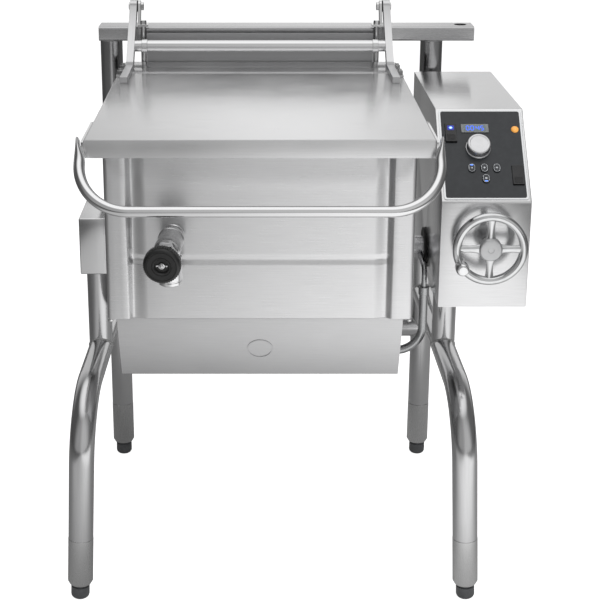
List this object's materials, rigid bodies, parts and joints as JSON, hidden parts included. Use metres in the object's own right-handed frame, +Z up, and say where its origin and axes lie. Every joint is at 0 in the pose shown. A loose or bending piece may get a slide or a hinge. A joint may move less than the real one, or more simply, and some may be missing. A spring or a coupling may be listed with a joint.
{
  "type": "tilting bratt pan",
  "caption": "Stainless steel tilting bratt pan on a tube stand, with a hinged lid, a draw-off valve, a control console and a tilting handwheel.",
  "frame": {"origin": "floor level under the middle of the bounding box", "axes": "+Z up, -Y to the front where the user stands, +X to the user's right where the console is"},
  "size_m": [0.9264, 0.984, 1.142],
  "materials": {
    "tube": "satin",
    "ferrule": "satin",
    "foot": "matte",
    "sheet": "brushed",
    "casting": "rough",
    "rubber": "matte",
    "bezel": "satin",
    "overlay": "satin",
    "display": "gloss",
    "amber": "gloss",
    "board": "matte",
    "black_plastic": "gloss",
    "spun_aluminium": "spun",
    "button": "satin",
    "cast_aluminium": "cast",
    "machined_steel": "machined",
    "polished_steel": "polished",
    "pan_steel": "satin",
    "element": "oxidised",
    "wool": "matte",
    "fastener": "polished",
    "bronze": "machined",
    "conduit": "satin",
    "ribbed_plastic": "satin",
    "lid_steel": "brushed",
    "arm_steel": "satin"
  },
  "bodies": {
    "stand": {"rear_posts": "tube", "front_leg_left": "tube", "front_leg_right": "tube", "trunnion_posts": "tube", "rear_crossbar": "tube", "rear_stretcher": "tube", "leg_ferrules": "ferrule", "left_housing": "sheet", "trunnion_bearings": "casting", "shaft_seals": "rubber", "console_shell": "sheet", "console_back": "sheet", "console_base": "sheet", "control_panel": "bezel", "panel_overlay": "overlay", "display_window": "display", "amber_lamp": "amber", "control_board": "board", "worm_bearings": "casting"},
    "pan": {"pan_tank": "pan_steel", "heating_plate": "casting", "heater_elements": "element", "insulation": "wool", "pan_cradle": "casting", "pan_casing": "sheet", "heater_box": "sheet", "casing_screws": "fastener", "trunnion_shaft": "machined_steel", "worm_gear": "bronze", "drain_nipple": "polished_steel", "valve_body": "polished_steel", "valve_outlet": "polished_steel", "strainer": "pan_steel", "hinge_box": "sheet", "hinge_plates": "fastener", "hinge_pins": "fastener", "hinge_washers": "rubber", "conduit": "conduit"},
    "lid": {"lid": "lid_steel", "lid_handle": "polished_steel", "lid_arms": "arm_steel", "tie_tube": "polished_steel", "lid_bolts": "fastener"},
    "handwheel": {"handwheel": "cast_aluminium", "worm_shaft": "machined_steel", "crank_pin": "machined_steel"},
    "crank_knob": {"crank_knob": "polished_steel"},
    "valve_handle": {"valve_stem": "machined_steel", "valve_knob": "ribbed_plastic"},
    "control_knob": {"control_knob": "spun_aluminium"},
    "power_switch": {"power_switch": "black_plastic"},
    "tilt_switch": {"tilt_switch": "black_plastic"},
    "button_left": {"button_left": "button"},
    "button_middle": {"button_middle": "button"},
    "button_right": {"button_right": "button"},
    "button_lower": {"button_lower": "button"},
    "foot_front_left": {"foot_front_left": "foot"},
    "foot_front_right": {"foot_front_right": "foot"},
    "foot_rear_left": {"foot_rear_left": "foot"},
    "foot_rear_right": {"foot_rear_right": "foot"}
  },
  "joints": [
    {"name": "pan_tilt", "type": "hinge", "parent": "stand", "child": "pan", "pos_m": [-0.06675, 0.09096, 0.66], "axis": [1, 0, 0], "range_deg": [0, 75]},
    {"name": "handwheel_turn", "type": "hinge", "parent": "stand", "child": "handwheel", "pos_m": [0.37825, -0.20204, 0.749], "axis": [0, 1, 0], "range_deg": [0, 3000]},
    {"name": "crank_knob_spin", "type": "hinge", "parent": "handwheel", "child": "crank_knob", "pos_m": [0.3213, -0.21054, 0.71872], "axis": [0, -1, 0], "continuous": true},
    {"name": "lid_hinge", "type": "hinge", "parent": "pan", "child": "lid", "pos_m": [-0.06675, 0.43096, 1.128], "axis": [-1, 0, 0], "range_deg": [0, 85]},
    {"name": "valve_knob_turn", "type": "hinge", "parent": "pan", "child": "valve_handle", "pos_m": [-0.23546, -0.47109, 0.81006], "axis": [-0.0782, -0.9931, -0.0872], "range_deg": [0, 540]},
    {"name": "control_knob_turn", "type": "hinge", "parent": "stand", "child": "control_knob", "pos_m": [0.36645, -0.0668, 0.91468], "axis": [0, -0.7048, 0.7094], "continuous": true},
    {"name": "power_rocker", "type": "hinge", "parent": "stand", "child": "power_switch", "pos_m": [0.31453, -0.04216, 0.93916], "axis": [1, 0, 0], "range_deg": [0, 8]},
    {"name": "tilt_rocker", "type": "hinge", "parent": "stand", "child": "tilt_switch", "pos_m": [0.44037, -0.11146, 0.87031], "axis": [1, 0, 0], "range_deg": [-4, 4], "stiffness_Nm_per_rad": 0.3},
    {"name": "button_left_press", "type": "slide", "parent": "stand", "child": "button_left", "axis": [0, 0.7048, -0.7094], "range_m": [0, 0.0015], "stiffness_N_per_m": 400, "springref_m": -0.0005},
    {"name": "button_middle_press", "type": "slide", "parent": "stand", "child": "button_middle", "axis": [0, 0.7048, -0.7094], "range_m": [0, 0.0015], "stiffness_N_per_m": 400, "springref_m": -0.0005},
    {"name": "button_right_press", "type": "slide", "parent": "stand", "child": "button_right", "axis": [0, 0.7048, -0.7094], "range_m": [0, 0.0015], "stiffness_N_per_m": 400, "springref_m": -0.0005},
    {"name": "button_lower_press", "type": "slide", "parent": "stand", "child": "button_lower", "axis": [0, 0.7048, -0.7094], "range_m": [0, 0.0015], "stiffness_N_per_m": 400, "springref_m": -0.0005},
    {"name": "foot_front_left_screw", "type": "slide", "parent": "stand", "child": "foot_front_left", "axis": [-0.0454, 0.0006, -0.999], "range_m": [0, 0.025]},
    {"name": "foot_front_right_screw", "type": "slide", "parent": "stand", "child": "foot_front_right", "axis": [0.0454, 0.0006, -0.999], "range_m": [0, 0.025]},
    {"name": "foot_rear_left_screw", "type": "slide", "parent": "stand", "child": "foot_rear_left", "axis": [0, 0, -1], "range_m": [0, 0.025]},
    {"name": "foot_rear_right_screw", "type": "slide", "parent": "stand", "child": "foot_rear_right", "axis": [0, 0, -1], "range_m": [0, 0.025]}
  ],
  "couplings": [
    {"joint": "handwheel_turn", "follows": "pan_tilt", "ratio": 40}
  ]
}
